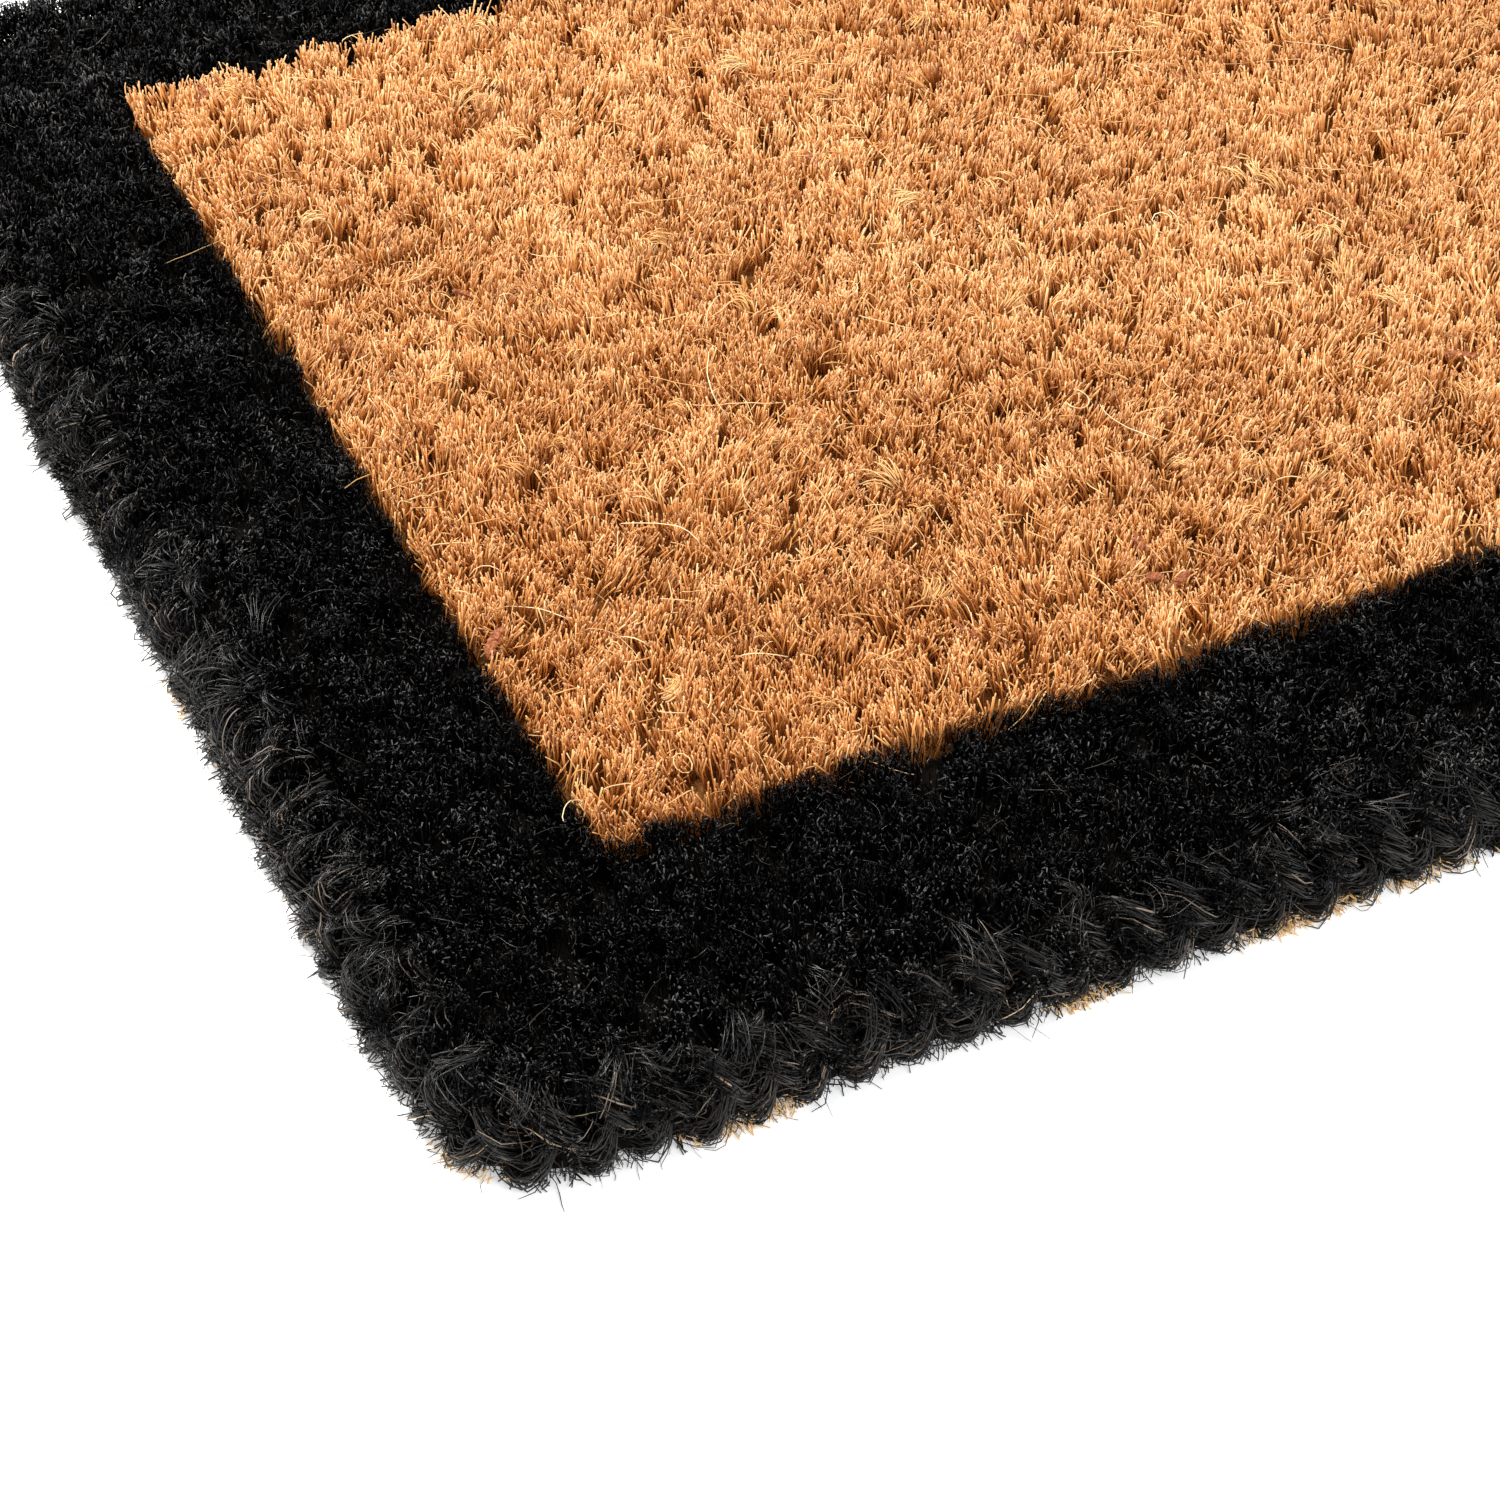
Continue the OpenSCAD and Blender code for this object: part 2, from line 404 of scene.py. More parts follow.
def triangles_in(points):
    """How many triangles a fibre of so many points has."""
    return 4 + 6 * (points - 2)


# ---- pile

# A tuft's fibres gather into locks; LOCKED is how far they keep to their lock's place.
TUFT_PITCH = 7.0
ROW_PITCH = TUFT_PITCH * 0.866
TUFT_SPREAD = 5.6
TUFT_WIDEST = 11.0
TUFT_FOOT = 1.7
FEWEST_FIBRES = 12
LOCKS = 8
LOCKED = 0.66
FIBRE_LENGTH = 14.0
# The pile rounds off over EDGE_ROUND towards a rim that lies LIP inside the mat's edge.
EDGE_ROUND = 13.0
EDGE_DROP = 6.5
EDGE_SPLAY = 4.5
LIP = 4.2
PILE_CORNER = 21.5
# Fibres to a square millimetre, close to the front left corner and far from it.
DENSITY_NEAR = 1.22
DENSITY_FAR = 0.83
# How far from that corner the fine fibres reach and fade, and the painted shade that darkens the roots and
# tones there.
NEAR_REACH = 250.0
NEAR_FADE = 230.0
SHADE_REACH = 110.0
SHADE_FADE = 200.0


def smooth_noise(x, y, size, rng):
    """A slow random field: random values on a grid, joined smoothly."""
    nx = int(2 * MAT_X / size) + 3
    ny = int(2 * MAT_Y / size) + 3
    grid = rng.normal(size=(nx, ny))
    gx = (x + MAT_X) / size
    gy = (y + MAT_Y) / size
    ix = np.clip(gx.astype(int), 0, nx - 2)
    iy = np.clip(gy.astype(int), 0, ny - 2)
    fx = np.clip(gx - ix, 0, 1)
    fy = np.clip(gy - iy, 0, 1)
    fx = fx * fx * (3 - 2 * fx)
    fy = fy * fy * (3 - 2 * fy)
    low = grid[ix, iy] * (1 - fx) + grid[ix + 1, iy] * fx
    high = grid[ix, iy + 1] * (1 - fx) + grid[ix + 1, iy + 1] * fx
    return low * (1 - fy) + high * fy


def nearness(x, y, reach=NEAR_REACH, fade=NEAR_FADE):
    """1 within reach of the front left corner, falling to 0 beyond it."""
    away = np.hypot(x + MAT_X, y + MAT_Y)
    return np.clip((reach + fade - away) / fade, 0, 1)


def edge_distance(x, y, inset, radius):
    """Distance in from a round-cornered rectangle, and the outward direction, x over y."""
    half = np.array([MAT_X - inset, MAT_Y - inset])
    qx = np.abs(x) - (half[0] - radius)
    qy = np.abs(y) - (half[1] - radius)
    corner = (qx > 0) & (qy > 0)
    length = np.maximum(np.hypot(qx, qy), 1e-6)
    by_x = (qx >= qy) & ~corner
    distance = np.where(corner, radius - length, radius - np.maximum(qx, qy))
    out_x = np.where(corner, qx / length, np.where(by_x, 1.0, 0.0)) * np.sign(x)
    out_y = np.where(corner, qy / length, np.where(by_x, 0.0, 1.0)) * np.sign(y)
    return distance, np.stack([out_x, out_y])


def heading_of(angle):
    """The unit vectors at some angles, x over y."""
    return np.stack([np.cos(angle), np.sin(angle)])


def walk(angle, step):
    """Where steps of a changing angle lead, x over y."""
    return np.cumsum(heading_of(angle) * step, -1)


def pile_fibres(rng):
    """All the cut fibres of the pile, as arrays over the whole mat, and the number of its tufts."""
    rows = int(2 * MAT_Y / ROW_PITCH) + 1
    columns = int(2 * MAT_X / TUFT_PITCH) + 2
    column, row = np.meshgrid(np.arange(columns), np.arange(rows), indexing="ij")
    at = np.stack([(column + 0.5 * (row % 2)) * TUFT_PITCH - MAT_X, row * ROW_PITCH - MAT_Y])
    at = (at + rng.normal(0, 0.9, at.shape)).reshape(2, -1)
    inside, _ = edge_distance(*at, LIP, PILE_CORNER)
    at = at[:, inside > 0.5]
    near = nearness(*at)
    wanted = (DENSITY_FAR + (DENSITY_NEAR - DENSITY_FAR) * near) * TUFT_PITCH * ROW_PITCH
    count = np.maximum(rng.poisson(wanted), FEWEST_FIBRES)
    tufts = len(count)
    lean = np.stack([1.1 * smooth_noise(*at, 34, rng) + rng.normal(0, 1.9, tufts) for _ in range(2)])
    rise = 0.45 * smooth_noise(*at, 30, rng) + rng.normal(0, 0.35 + 0.65 * near, tufts)
    tuft_tone = 0.09 * smooth_noise(*at, 22, rng) + rng.normal(0, 0.07, tufts)
    spread = TUFT_SPREAD * rng.uniform(0.75, 1.3, tufts)

    of = np.repeat(np.arange(tufts), count)
    n = len(of)
    lock = rng.integers(0, LOCKS, n)
    lock_reach = np.sqrt(rng.uniform(0, 1, (tufts, LOCKS)))
    lock_angle = rng.uniform(0, CIRCLE, (tufts, LOCKS))
    lock_rise = rng.normal(0, 0.85, (tufts, LOCKS))[of, lock]
    lock_bow = rng.normal(0, 1.5, (tufts, LOCKS, 2))[of, lock]
    lock_tone = rng.normal(0, 0.09, (tufts, LOCKS))[of, lock]
    own_reach = np.sqrt(rng.uniform(0, 1, n))
    own_angle = rng.uniform(0, CIRCLE, n)
    aside = LOCKED * (lock_reach * heading_of(lock_angle))[:, of, lock]
    aside = 1.25 * (aside + (1 - LOCKED) * own_reach * heading_of(own_angle))
    middle = at[:, of]
    foot = middle + TUFT_FOOT * aside + rng.normal(0, 0.5, (2, n))
    wild = np.where(rng.uniform(0, 1, n) < 0.13, 2.6, 0.80)
    tip = middle + spread[of] * aside + lean[:, of] + wild * rng.normal(0, 1, (2, n))
    tip = np.clip(tip, middle - TUFT_WIDEST, middle + TUFT_WIDEST)
    tip_z = PILE_TOP + 0.5 + rise[of] + lock_rise - 0.9 * np.hypot(*aside) ** 2
    tip_z -= np.abs(rng.normal(0, 1.3, n))

    inside, out = edge_distance(*tip, LIP, PILE_CORNER)
    roll = np.clip(1 - inside / EDGE_ROUND, 0, 1.2)
    outward = EDGE_SPLAY * np.minimum(roll, 1) ** 2 + 0.7 * np.minimum(inside, 0)
    tip += out * outward
    tip_z -= EDGE_DROP * roll ** 2.2
    foot_z = PILE_TOP - FIBRE_LENGTH + rng.uniform(-1, 1, n)

    foot = np.stack([*foot, foot_z], -1)
    tip = np.stack([*tip, tip_z], -1)
    bow = rng.normal(0, 1.15, (n, 3)) * np.array([1, 1, 0.3])
    bow[:, :2] += lock_bow
    bow[:, :2] += (out * (0.6 * outward)).T
    knee = foot + 0.55 * (tip - foot) + bow
    return of, foot, knee, tip, tuft_tone[of] + lock_tone, tufts


def bent_paths(foot, knee, tip, way, hook, rng):
    """Fibres that bend from foot to tip towards a knee and hook at the tip."""
    way = way[None, :, None]
    paths = (1 - way) ** 2 * foot[:, None] + 2 * way * (1 - way) * knee[:, None] + way ** 2 * tip[:, None]
    paths[:, -1] += rng.normal(0, 1, (len(foot), 3)) * np.array([hook, hook, 0.6 * hook])
    return paths


def zone_of(x, y):
    """Which pile node a fibre belongs to, by where it stands; the ends take the corners."""
    zone = np.full(len(x), "field_pile", dtype=object)
    zone[y > FIELD_Y] = "back_border_pile"
    zone[y < -FIELD_Y] = "front_border_pile"
    zone[x < -FIELD_X] = "left_border_pile"
    zone[x > FIELD_X] = "right_border_pile"
    return zone


PILE_NODES = (
    "field_pile", "left_border_pile", "right_border_pile", "front_border_pile", "back_border_pile")
# The three shapes of fibre: its points from foot to tip, how far its tip hooks, and its swell.
NATURAL_WAYS = ((0.0, 1.0), (0.0, 0.6, 1.0), (0.0, 0.42, 0.74, 1.0))
NATURAL_HOOKS = (0.0, 0.28, 0.55)
DYED_WAYS = ((0.0, 1.0), (0.0, 0.965, 1.0), (0.0, 0.55, 0.965, 1.0))
DYED_HOOKS = (0.0, 0.48, 0.45)
SWELLS = ((0.0, 1.0), (0.0, 0.95, 1.0), (0.0, 0.9, 1.0, 1.0))
DYED_THICKNESS = 0.74
# A fibre is dyed or not by a place three quarters of the way from its foot to its tip.
DYED_BY_TIP = 0.75
# The dyed pile starts a little lower beside the field.
SEAM_DIP = 3.2
SEAM_REACH = 4.0
# Far from the corner each fibre's way up the painted shade ramp starts this far up, so its root takes less
# painted shade.
FAR_ROOT_SHADE_LIFT = 0.52


def add_pile(rng):
    """The cut fibres, node by node: straight or bent once far away, curved close to the corner."""
    of, foot, knee, tip, tuft_tone, tufts = pile_fibres(rng)
    n = len(of)
    waver = rng.normal(0, 0.4, (tufts, 2))[of]
    dyed_at = DYED_BY_TIP * tip[:, :2] + (1 - DYED_BY_TIP) * foot[:, :2] + waver
    zone = zone_of(dyed_at[:, 0], dyed_at[:, 1])
    past = np.maximum(np.abs(dyed_at[:, 0]) - FIELD_X, np.abs(dyed_at[:, 1]) - FIELD_Y)
    tip[:, 2] -= np.where(past > 0, SEAM_DIP * np.clip(1 - past / SEAM_REACH, 0, 1), 0)
    near = nearness(foot[:, 0], foot[:, 1])
    draw = rng.uniform(0, 1, n)
    bent = np.where(zone == "field_pile", 0.38, 0.60)
    shape = np.where(draw < 0.85 * near, 2, np.where(draw < bent + (0.97 - bent) * near, 1, 0))
    cost = np.array([triangles_in(len(way)) for way in NATURAL_WAYS])
    thick = (0.265 - 0.075 * near) * rng.uniform(0.65, 1.35, n)
    own = rng.uniform(0, 1, n)
    # Painted shade: the field's tones and the roots' painted shade are darker close to the front left
    # corner, where less light falls.
    corner_shade = nearness(foot[:, 0], foot[:, 1], SHADE_REACH, SHADE_FADE)
    natural_tone = 0.51 + 0.11 * near - 0.17 * corner_shade + tuft_tone
    natural_tone = np.clip(natural_tone + (0.12 + 0.07 * near) * rng.normal(size=n), 0.01, 0.95)
    # Painted glint: slow patches where more of the dyed tips take the painted highlight and others stay
    # black.
    glint = 0.20 * smooth_noise(tip[:, 0], tip[:, 1], 8, rng) - 0.04
    dyed_tone = np.clip(own ** 1.3 + glint, 0.01, 0.99)
    natural = (natural_tone, NATURAL_WAYS, NATURAL_HOOKS, 1.0, natural_fibre, "natural_pile")
    dyed = (dyed_tone, DYED_WAYS, DYED_HOOKS, DYED_THICKNESS, dyed_fibre, "dyed_pile")
    for node in PILE_NODES:
        tone, ways, hooks, fatness, material, slot = natural if node == "field_pile" else dyed
        here = np.flatnonzero(zone == node)
        along = 1 if node in ("left_border_pile", "right_border_pile") else 0
        here = here[np.argsort(foot[here, along], kind="stable")]
        weight = np.cumsum(cost[shape[here]])
        share = math.ceil(weight[-1] / TRIANGLES_PER_PIECE)
        part = np.minimum(weight * share // (weight[-1] + 1), share - 1)
        for number in range(share):
            chosen = here[part == number]
            batches = []
            for kind, (way, hook, swell) in enumerate(zip(ways, hooks, SWELLS)):
                way = np.array(way)
                pick = chosen[shape[chosen] == kind]
                paths = bent_paths(foot[pick], knee[pick], tip[pick], way, hook, rng)
                root_shade_lift = FAR_ROOT_SHADE_LIFT * (1 - corner_shade[pick])[:, None]
                radii = fatness * thick[pick][:, None] * swell
                batches.append((paths, radii, tone[pick], way + root_shade_lift * (1 - way)))
            add_fibres(f"{node}_fibres_{number + 1}", batches, material, [node], rng)


GROUND_STEP = 4.0
GROUND_DEPTH = 9.5
GROUND_INSET = 10.0
GROUND_CORNER = PILE_CORNER - 5.5
# Its top sinks by GROUND_SINK over GROUND_BEVEL at the rim.
GROUND_SINK = 3.0
GROUND_BEVEL = 8.0


def add_ground(node, material, rng):
    """The felted root of the pile: a lumpy closed slab that the fibres stand in."""
    low, high = node_box(node)
    nx = int((high[0] - low[0]) / GROUND_STEP) + 1
    ny = int((high[1] - low[1]) / GROUND_STEP) + 1
    x, y = np.meshgrid(np.linspace(low[0], high[0], nx), np.linspace(low[1], high[1], ny), indexing="ij")
    inside, out = edge_distance(x, y, GROUND_INSET, GROUND_CORNER)
    x, y = np.stack([x, y]) + out * np.minimum(inside, 0)
    top = PILE_TOP - GROUND_DEPTH + rng.normal(0, 0.7, x.shape)
    top = top - GROUND_SINK * np.clip(1 - inside / GROUND_BEVEL, 0, 1)
    bottom = PILE_FOOT + 0.2 + np.abs(rng.normal(0, 0.35, x.shape))
    upper = np.stack([x, y, top], -1).reshape(-1, 3)
    lower = np.stack([x, y, bottom], -1).reshape(-1, 3)
    index = np.arange(nx * ny).reshape(nx, ny)
    a, b, c, d = index[:-1, :-1], index[1:, :-1], index[1:, 1:], index[:-1, 1:]
    sheet = np.concatenate([faces(a, b, c), faces(a, c, d)])
    rim = np.concatenate([index[:-1, 0], index[-1, :-1], index[:0:-1, -1], index[0, :0:-1]])
    after = np.roll(rim, -1)
    low_by = nx * ny
    wall = np.concatenate([faces(rim, rim + low_by, after + low_by), faces(rim, after + low_by, after)])
    tris = np.concatenate([sheet, sheet[:, ::-1] + low_by, wall])
    piece = add_mesh(node + "_ground", np.concatenate([upper, lower]), tris, None, material)
    hand_over(piece, [node])


# ---- plait

# Its strands swing up and down by PLAIT_SWING and in and out by PLAIT_CROSS.
PLAIT_SWING = 6.9
PLAIT_CROSS = 3.7
STRAND_HIGH_HALF = 2.4
STRAND_THICK_HALF = 2.15
PLAIT_REPEAT = 36.0
PLAIT_CORNER = 20.0
PLAIT_OUT = PLAIT_CROSS + STRAND_THICK_HALF
LINE_X = STRAND_HIGH[0] - PLAIT_OUT
LINE_Y = STRAND_HIGH[1] - PLAIT_OUT
PLAIT_Z = (STRAND_LOW[2] + STRAND_HIGH[2]) / 2
LONG_RUN = 2 * (LINE_X - PLAIT_CORNER)
SHORT_RUN = 2 * (LINE_Y - PLAIT_CORNER)
CORNER_RUN = math.pi * PLAIT_CORNER / 2
HALF_LAP = LONG_RUN + SHORT_RUN + 2 * CORNER_RUN
LAP = 2 * HALF_LAP
REPEATS = round(LAP / PLAIT_REPEAT)
REPEAT = LAP / REPEATS


def edge_line(s):
    """Points of the plait's middle line, anticlockwise from the front left, and the way out."""
    s = np.mod(s, LAP)
    sign = np.where(s >= HALF_LAP, -1.0, 1.0)
    t = np.mod(s, HALF_LAP)
    first_corner = np.clip((t - LONG_RUN) / PLAIT_CORNER, 0, math.pi / 2)
    second_corner = np.clip((t - LONG_RUN - CORNER_RUN - SHORT_RUN) / PLAIT_CORNER, 0, math.pi / 2)
    turned = first_corner + second_corner - math.pi / 2
    out_x, out_y = np.cos(turned), np.sin(turned)
    x = np.minimum(t, LONG_RUN) - LONG_RUN / 2 + PLAIT_CORNER * out_x
    y = np.clip(t - LONG_RUN - CORNER_RUN, 0, SHORT_RUN) - SHORT_RUN / 2 + PLAIT_CORNER * out_y
    return x * sign, y * sign, out_x * sign, out_y * sign


def beside_line(s, d, z):
    """A point d out from the middle line, with the whole plait mirrored in X, as the frame's is."""
    x, y, ox, oy = edge_line(s)
    return np.stack([-(x + d * ox), y + d * oy, z], -1)


STRAND_FAT = 1.28
PLAIT_LOWEST = 0.28
LOBE_LENGTH = REPEAT / 3
lobe_noise = np.random.default_rng(SEED + 40).normal(size=(3, 4, int(LAP / LOBE_LENGTH) + 3))


def lobe_wander(s, number, which):
    """A slow random change along a strand, about one value to each lobe."""
    values = lobe_noise[number, which]
    at = np.mod(s, LAP) / LOBE_LENGTH
    low = at.astype(int)
    part = at - low
    part = part * part * (3 - 2 * part)
    count = int(round(LAP / LOBE_LENGTH))
    return values[low % count] * (1 - part) + values[(low + 1) % count] * part


def strand_surface(s, number, around, lift):
    """A point on a strand's skin; around is 0 outward and a quarter turn upward."""
    turn = CIRCLE * (s / REPEAT + 0.5 / 6) + number * CIRCLE / 3
    fat = STRAND_FAT + 0.12 * np.sin(2 * turn) + 0.19 * lobe_wander(s, number, 0)
    d = PLAIT_CROSS * np.sin(2 * turn) + 0.75 * lobe_wander(s, number, 1)
    d = d + (STRAND_THICK_HALF * fat + lift) * np.cos(around)
    z = PLAIT_Z + PLAIT_SWING * np.sin(turn) + 0.65 * lobe_wander(s, number, 2)
    z = z + (STRAND_HIGH_HALF * fat + lift) * np.sin(around)
    return beside_line(s, d, np.maximum(z, PLAIT_LOWEST))


def ring_places(rings, sides):
    """The way along the plait and the angle around, for each point of a closed tube."""
    s = np.repeat(np.arange(rings) * LAP / rings, sides)
    return s, np.tile(np.arange(sides) * CIRCLE / sides, rings)


def ring_triangles(rings, sides):
    """The faces of a tube that closes on itself."""
    ring, side = np.meshgrid(np.arange(rings), np.arange(sides), indexing="ij")
    a = ring * sides + side
    b = (ring + 1) % rings * sides + side
    c = (ring + 1) % rings * sides + (side + 1) % sides
    d = ring * sides + (side + 1) % sides
    return np.concatenate([faces(a, c, b), faces(a, d, c)])


def add_strand_core(number):
    """The body of a strand, a closed ring under its loose fibres."""
    rings = REPEATS * 12
    sides = 10
    s, around = ring_places(rings, sides)
    verts = strand_surface(s, number, around, -0.9 + 0.12 * np.sin(7 * around + s))
    tris = ring_triangles(rings, sides)
    piece = add_mesh(f"plait_strand_{number + 1}_core", verts, tris, None, dyed_ground)
    hand_over(piece, [f"plait_strand_{number + 1}"])


FILLING_MIDDLE = (0.3, 3.6)
FILLING_HALF = (2.9, 3.1)


def add_plait_filling(rng):
    """The ends of the yarns inside the plait, matted into a lumpy ring."""
    rings = REPEATS * 9
    sides = 9
    s, around = ring_places(rings, sides)
    lump = rng.uniform(0.78, 1.1, rings * sides)
    d = FILLING_MIDDLE[0] + FILLING_HALF[0] * lump * np.cos(around)
    z = FILLING_MIDDLE[1] + FILLING_HALF[1] * lump * np.sin(around)
    verts = beside_line(s, d, np.maximum(z, PLAIT_LOWEST))
    piece = add_mesh("plait_filling", verts, ring_triangles(rings, sides), None, dyed_ground)
    hand_over(piece, [])


STRAND_POINTS = 9
FIBRES_PER_REPEAT = 100


def strand_fibres(number, rng):
    """Fibres laid along a strand; some come loose at their ends."""
    n = REPEATS * FIBRES_PER_REPEAT
    s0 = rng.uniform(0, LAP, n)
    px, py, _, _ = edge_line(s0)
    near = nearness(-px, py)
    keep = rng.uniform(0, 1, n) < 0.55 + 0.45 * near
    s0, near = s0[keep], near[keep]
    n = len(s0)
    length = rng.uniform(9, 25, n)
    around = rng.uniform(-0.75 * math.pi, 0.75 * math.pi, n)
    along = np.linspace(0, 1, STRAND_POINTS)
    s = s0[:, None] + length[:, None] * (along - 0.5)
    twist = rng.normal(0, 0.050, n)[:, None] * (s - s0[:, None])
    angle = around[:, None] + twist + 0.08 * rng.normal(size=s.shape)
    lift = rng.uniform(-0.45, 0.7, n)[:, None] + 0.16 * rng.normal(size=s.shape)
    loose = rng.uniform(0, 1, n)
    fray = np.where(loose > 0.76, rng.uniform(1.0, 5.5, n), np.where(loose > 0.45, 1.1, 0.0))
    lift = lift + fray[:, None] * np.clip(along - 0.45, 0, 1) ** 1.6 * 2.2
    bight = np.where(rng.uniform(0, 1, n) > 0.86, rng.uniform(0.8, 3.0, n), 0.0)
    lift = lift + bight[:, None] * np.sin(math.pi * along) ** 2
    paths = strand_surface(s, number, angle, lift)
    thick = (0.205 - 0.025 * near) * rng.uniform(0.55, 1.4, n)
    swell = np.array([0.0, 0.9, 1.0, 1.0, 1.0, 1.0, 1.0, 0.9, 0.6])
    lobe_tone = 0.10 * lobe_wander(s0, number, 3)
    # Three in ten fibres take tones near the top of the plait ramp, partly their own lighter tone and
    # partly painted glints. A rare one is cream, a painted glint.
    dull = rng.uniform(0, 1, n) < 0.70
    tone = np.where(dull, 0.74 * rng.beta(1.2, 2.0, n), 0.96 * rng.beta(3.6, 1.1, n))
    tone = np.clip(tone + lobe_tone, 0.01, 0.94)
    tone = np.where(rng.uniform(0, 1, n) > 0.9985, 0.965, tone)
    return s0, (paths, thick[:, None] * swell, tone)


def add_plait(rng):
    """The filling and, for each strand, its core and its fibres in pieces of about equal length."""
    add_plait_filling(rng)
    for number in range(3):
        add_strand_core(number)
        s0, fibres = strand_fibres(number, rng)
        order = np.argsort(s0, kind="stable")
        share = math.ceil(len(order) * triangles_in(STRAND_POINTS) / TRIANGLES_PER_PIECE)
        strand = f"plait_strand_{number + 1}"
        add_shares(strand + "_fibres", fibres, order, share, [strand], rng)


HAIRS = 3400
HAIR_POINTS = 9
HAIR_OUT = PLAIT_OUT + 0.5
HAIR_UP = PLAIT_SWING + STRAND_HIGH_HALF + 0.4
HAIR_LOWEST = 0.3


def add_plait_hairs(rng):
    """Loose hairs that lie over the whole plait, across its strands, in arcs."""
    n = HAIRS
    t = np.linspace(0, 1, HAIR_POINTS)
    length = rng.uniform(6, 19, n)
    turn = rng.uniform(0, CIRCLE, n)[:, None] + rng.normal(0, 1.7, n)[:, None] * t
    turn = turn + np.cumsum(rng.normal(0, 0.16, (n, HAIR_POINTS)), 1)
    step = length[:, None] / (HAIR_POINTS - 1)
    ahead, across = walk(turn, step)
    s = rng.uniform(0, LAP, n)[:, None] + ahead
    around = rng.uniform(-0.42 * math.pi, 0.7 * math.pi, n)[:, None]
    around = around + across / ((HAIR_OUT + HAIR_UP) / 2)
    lift = rng.uniform(-1.6, 0.5, n)[:, None] + 0.9 * rng.uniform(-0.4, 1, n)[:, None] * np.sin(math.pi * t)
    z = np.maximum(PLAIT_Z + (HAIR_UP + lift) * np.sin(around), HAIR_LOWEST)
    paths = beside_line(s, (HAIR_OUT + lift) * np.cos(around), z)
    radii = rng.uniform(0.08, 0.17, n)[:, None] * np.linspace(1.0, 0.7, HAIR_POINTS)
    tone = np.clip(rng.beta(1.8, 1.5, n) * 0.95, 0.01, 0.94)
    # A rare hair is cream: a painted glint.
    tone = np.where(rng.uniform(0, 1, n) > 0.997, 0.975, tone)
    order = np.argsort(s[:, 0], kind="stable")
    add_shares("plait_hairs", (paths, radii, tone), order, 2, [], rng)


STITCH_EVERY = 2
THREAD_PLIES = 3
THREAD_PLY_RADIUS = 0.30
THREAD_TURN = 2.6
THREAD_POINTS = 22


def add_stitches(rng):
    """The sewing thread: plies twisted together that come out over the plait's face and go back in."""
    m = np.arange(0, REPEATS, STITCH_EVERY)
    first = (m + 1 / 6) * REPEAT
    last = (m + 1 / 2) * REPEAT
    _, _, x0, y0 = edge_line(first)
    _, _, x1, y1 = edge_line(last)
    straight = (np.abs(x0 - x1) + np.abs(y0 - y1)) < 1e-6
    first, last = first[straight], last[straight]
    t = np.linspace(0, 1, THREAD_POINTS)
    s = first[:, None] + (last - first)[:, None] * t
    d = -PLAIT_OUT * 0.4 + (PLAIT_OUT * 1.4 + 0.5) * np.sin(math.pi * t) ** 0.4 + 0 * s
    z = PLAIT_Z + PLAIT_SWING / 4 + rng.normal(0, 0.3, len(s))[:, None] + 0 * s
    run = (last - first)[:, None] * t * 1.6
    batches = []
    for ply in range(THREAD_PLIES):
        turn = CIRCLE * (run / THREAD_TURN + ply / THREAD_PLIES)
        aside = 1.1 * THREAD_PLY_RADIUS
        paths = beside_line(s, d + aside * np.cos(turn), z + aside * np.sin(turn))
        radii = np.full(s.shape, THREAD_PLY_RADIUS)
        batches.append((paths, radii, rng.uniform(0.3, 0.7, len(s))))
    add_fibres("sewing_thread", batches, plait_fibre, ["edge_stitches"], rng)


# ---- loose fibres

FIBRE_LOWEST = 0.25


def curly_paths(start, heading, length, points, curl, rng):
    """Fibres that wander as they go: each step turns the heading a little."""
    n = len(start)
    step = length[:, None] / (points - 1)
    bend = rng.normal(0, 1, (n, 3)) * curl
    paths = [start]
    heading = unit(heading)
    for _ in range(points - 1):
        heading = unit(heading + bend / (points - 1) + rng.normal(0, 0.10, (n, 3)))
        paths.append(paths[-1] + heading * step)
    return np.stack(paths, 1)


def field_wanderers(count, points, length, thick, tone, curl, lift, rng):
    """Loose fibres that wander over the top of the field."""
    x = rng.uniform(-FIELD_X, FIELD_X, count)
    y = rng.uniform(-FIELD_Y, FIELD_Y, count)
    z = PILE_TOP + rng.uniform(-1.6, 0.4, count)
    turn = rng.uniform(0, CIRCLE, count)
    heading = np.stack([*heading_of(turn), rng.uniform(-0.1, lift, count)], -1)
    paths = curly_paths(np.stack([x, y, z], -1), heading, rng.uniform(*length, count), points, curl, rng)
    paths[..., 2] = PILE_TOP + 2.4 * np.tanh((paths[..., 2] - PILE_TOP) / 2.4)
    radii = rng.uniform(*thick, count)[:, None] * np.linspace(0.9, 0.7, points)
    return paths, radii, rng.uniform(*tone, count)


# Places in from the field's front left corner.
NEAR_RING = np.array([23.7, 11.5])
NEAR_LOCK = np.array([31.4, 37.8])
NEAR_FLAKES = ((3.0, 66.7, 0.82, 10.0, 1.15), (146.0, 22.5, -0.9, 3.6, 1.2), (151.0, 19.5, 0.2, 4.6, 1.2))


